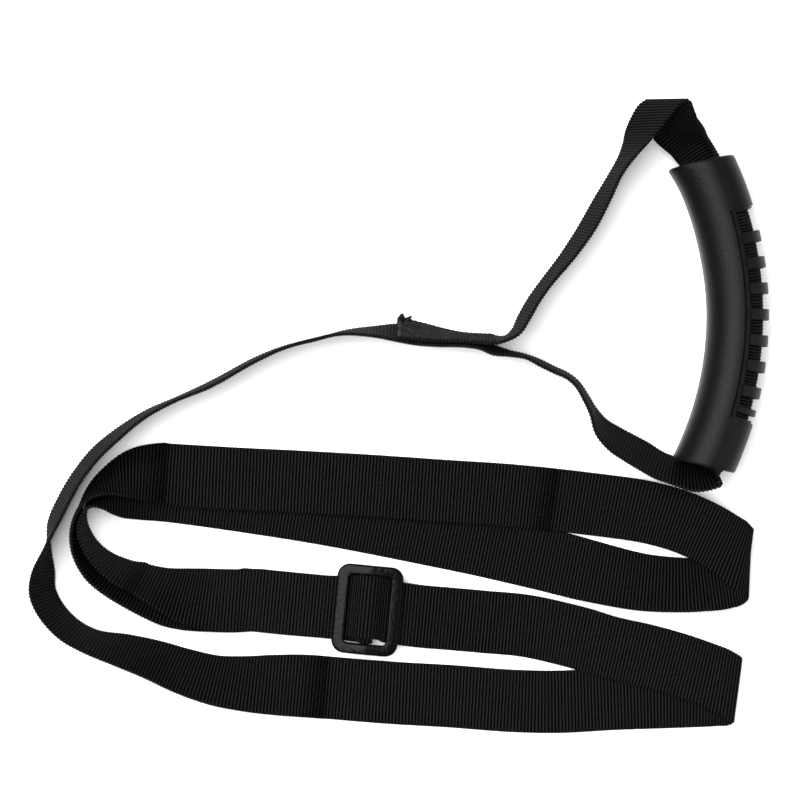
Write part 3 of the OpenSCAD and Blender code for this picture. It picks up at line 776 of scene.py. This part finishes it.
# ---- sewing ----
def stitch_mesh(route, first, last, face, rows, pitch, length, thick, seed, wander=0.0):
    """Raised stitches laid on one face of the webbing, each an arched run of thread"""
    rng = random.Random(seed)
    places, along = arc_length(route)
    start, end = np.interp([first, last], places, along)
    verts, faces = [], []
    for row, shift in enumerate(rows):
        count = int((end - start - 0.002) / pitch)
        for k in range(count):
            mid = start + 0.001 + (k + 0.5 + 0.5 * (row % 2)) * pitch
            if mid + length / 2 > end:
                continue
            cross = rng.uniform(-wander, wander)
            ts = np.linspace(-1, 1, 7)
            at = mid + ts * length / 2
            middle, side, normal, skew, _ = frames(route, np.interp(at, along, places))
            level = face * (WEB_T / 2 + thick * 0.35 - thick * 0.9 * abs(ts) ** 3)
            line = (middle + side * ((shift + cross * ts) / skew)[:, None]
                    + normal * level[:, None])
            tangent = unit(np.gradient(line, axis=0))
            u = unit(np.cross(tangent, normal))
            w = np.cross(u, tangent)
            base = len(verts)
            for i in range(7):
                fat = thick / 2 * (0.55 + 0.45 * math.sqrt(max(0, 1 - ts[i] ** 2)))
                for a in range(6):
                    verts.append(line[i] + fat * (u[i] * cosd(a * 60) + w[i] * sind(a * 60)))
            faces += (ring_faces(7, 6) + base).tolist()
            faces.append([base + a for a in range(6)][::-1])
            faces.append([base + 36 + a for a in range(6)])
    return verts, faces


tail_end = len(HANDLE_TAIL) - 1
junction = mesh_object("junction_stitching", *stitch_mesh(
    handle_route, 0, tail_end + 1.2, face=-1, rows=[k * 0.0017 for k in range(-7, 8)],
    pitch=0.0019, length=0.0021, thick=0.00075, seed=4, wander=0.0006), thread_material)
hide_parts("handle_stitching")
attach(junction, "strap")
tab_thread = mesh_object("buckle_tab_stitching", *stitch_mesh(
    main_route, tab_to - 2, tab_to, face=1, rows=[k * 0.004 for k in range(-2, 3)],
    pitch=0.0026, length=0.0022, thick=0.0005, seed=5), thread_material)
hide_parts("tab_stitching")
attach(tab_thread, "buckle")


def tube(points, radii, rng, rough, turns=9):
    """A lumpy tube through points, closed at both ends"""
    points = np.array(points)
    tangent = unit(np.gradient(points, axis=0))
    u = unit(np.cross(tangent, (0.3, 0.9, 0.31)))
    w = np.cross(tangent, u)
    verts = [points[i] + radii[i] * rng.uniform(1 - rough, 1 + rough)
             * (u[i] * cosd(a * 360 / turns) + w[i] * sind(a * 360 / turns))
             for i in range(len(points)) for a in range(turns)]
    faces = ring_faces(len(points), turns)[:, ::-1].tolist()
    faces.append(list(range(turns)))
    faces.append(list(range((len(points) - 1) * turns, len(points) * turns))[::-1])
    return verts, faces


def frayed_end():
    """The heat-cut end of the webbing's tail: a melted bead, a knob and loose threads"""
    rng = random.Random(11)
    middle, side, normal, _, _ = frames(handle_route, np.array([0.0]))
    centre, side, normal = middle[0], side[0], normal[0]
    shapes = []
    line = [centre + side * (s * HALF_W) + normal * rng.uniform(-0.0002, 0.0002)
            for s in np.linspace(-0.86, 0.98, 26)]
    shapes.append(tube(line, [rng.uniform(0.0007, 0.001) for p in line], rng, 0.18))
    low = centre - side * (0.9 * HALF_W)
    for start, way, size in (((0, 0, 0.0012), (0.0008, 0.0028, 0.0004), 0.0015),
                             ((0.0022, 0, 0.001), (0.0022, 0.0018, 0.0003), 0.0009),
                             ((-0.0004, -0.001, 0.002), (-0.001, 0.001, 0.001), 0.001)):
        at = low + np.array(start)
        knob = [at + np.array(way) * k / 6 for k in range(7)]
        shapes.append(tube(knob, [size * (1.02 - (k / 6.6) ** 2) for k in range(7)], rng, 0.2))
    for k in range(9):
        at = centre + side * rng.uniform(-0.8, 0.9) * HALF_W
        way = np.array((-rng.uniform(0.3, 1), rng.uniform(-0.9, 0.9), rng.uniform(0.1, 0.8)))
        bend = np.array((0, rng.uniform(-0.5, 0.5), rng.uniform(-0.4, 0.2)))
        reach = rng.uniform(0.0008, 0.0018)
        thread = [at + reach * (way * q + bend * q * q) for q in np.linspace(0, 1, 7)]
        shapes.append(tube(thread, [0.00014] * 7, rng, 0.1, 5))
    verts, faces = [], []
    for v, f in shapes:
        faces += [[i + len(verts) for i in face] for face in f]
        verts += v
    verts = [(v[0], v[1], max(v[2], 0.00005)) for v in verts]
    return verts, faces


frayed = mesh_object("frayed_tail_end", *frayed_end(), thread_material)
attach(frayed, "strap")


# ---- the surface it lies on, and the light ----
def flat_piece(name, x, y, z, half):
    verts = [(x - half, y - half, z), (x + half, y - half, z), (x + half, y + half, z),
             (x - half, y + half, z)]
    mesh = bpy.data.meshes.new(name)
    mesh.from_pydata(verts, [], [(0, 1, 2, 3)])
    obj = bpy.data.objects.new(name, mesh)
    bpy.context.scene.collection.objects.link(obj)
    return obj


# Just under the lowest ribs of the webbing
FLOOR_Z = -0.0004
floor = flat_piece("floor", 0, 0, FLOOR_Z, 3)
floor_material, _, _, floor_shader = material("white floor")
floor_shader.inputs["Base Color"].default_value = (0.86, 0.86, 0.86, 1)
floor_shader.inputs["Roughness"].default_value = 0.9
floor_shader.inputs["Specular IOR Level"].default_value = 0
floor.data.materials.append(floor_material)


def soft_light(name, place, target, size, power):
    data = bpy.data.lights.new(name, "AREA")
    data.shape = "RECTANGLE"
    data.size, data.size_y = size
    data.energy = power
    lamp = bpy.data.objects.new(name, data)
    lamp.location = place
    lamp.rotation_euler = (Vector(target) - Vector(place)).to_track_quat("-Z", "Y").to_euler()
    bpy.context.scene.collection.objects.link(lamp)
    return lamp


soft_light("key", (-0.5, 0.25, 1.4), (0, 0, 0), (1.0, 1.5), 62)
soft_light("fill", (1.3, -0.3, 0.9), (0, 0, 0), (0.8, 1.2), 8)
world = bpy.data.worlds.new("studio")
world.use_nodes = True
world.node_tree.nodes["Background"].inputs["Color"].default_value = (1, 1, 1, 1)
world.node_tree.nodes["Background"].inputs["Strength"].default_value = 0.5
bpy.context.scene.world = world
bpy.context.scene.view_settings.view_transform = "Standard"
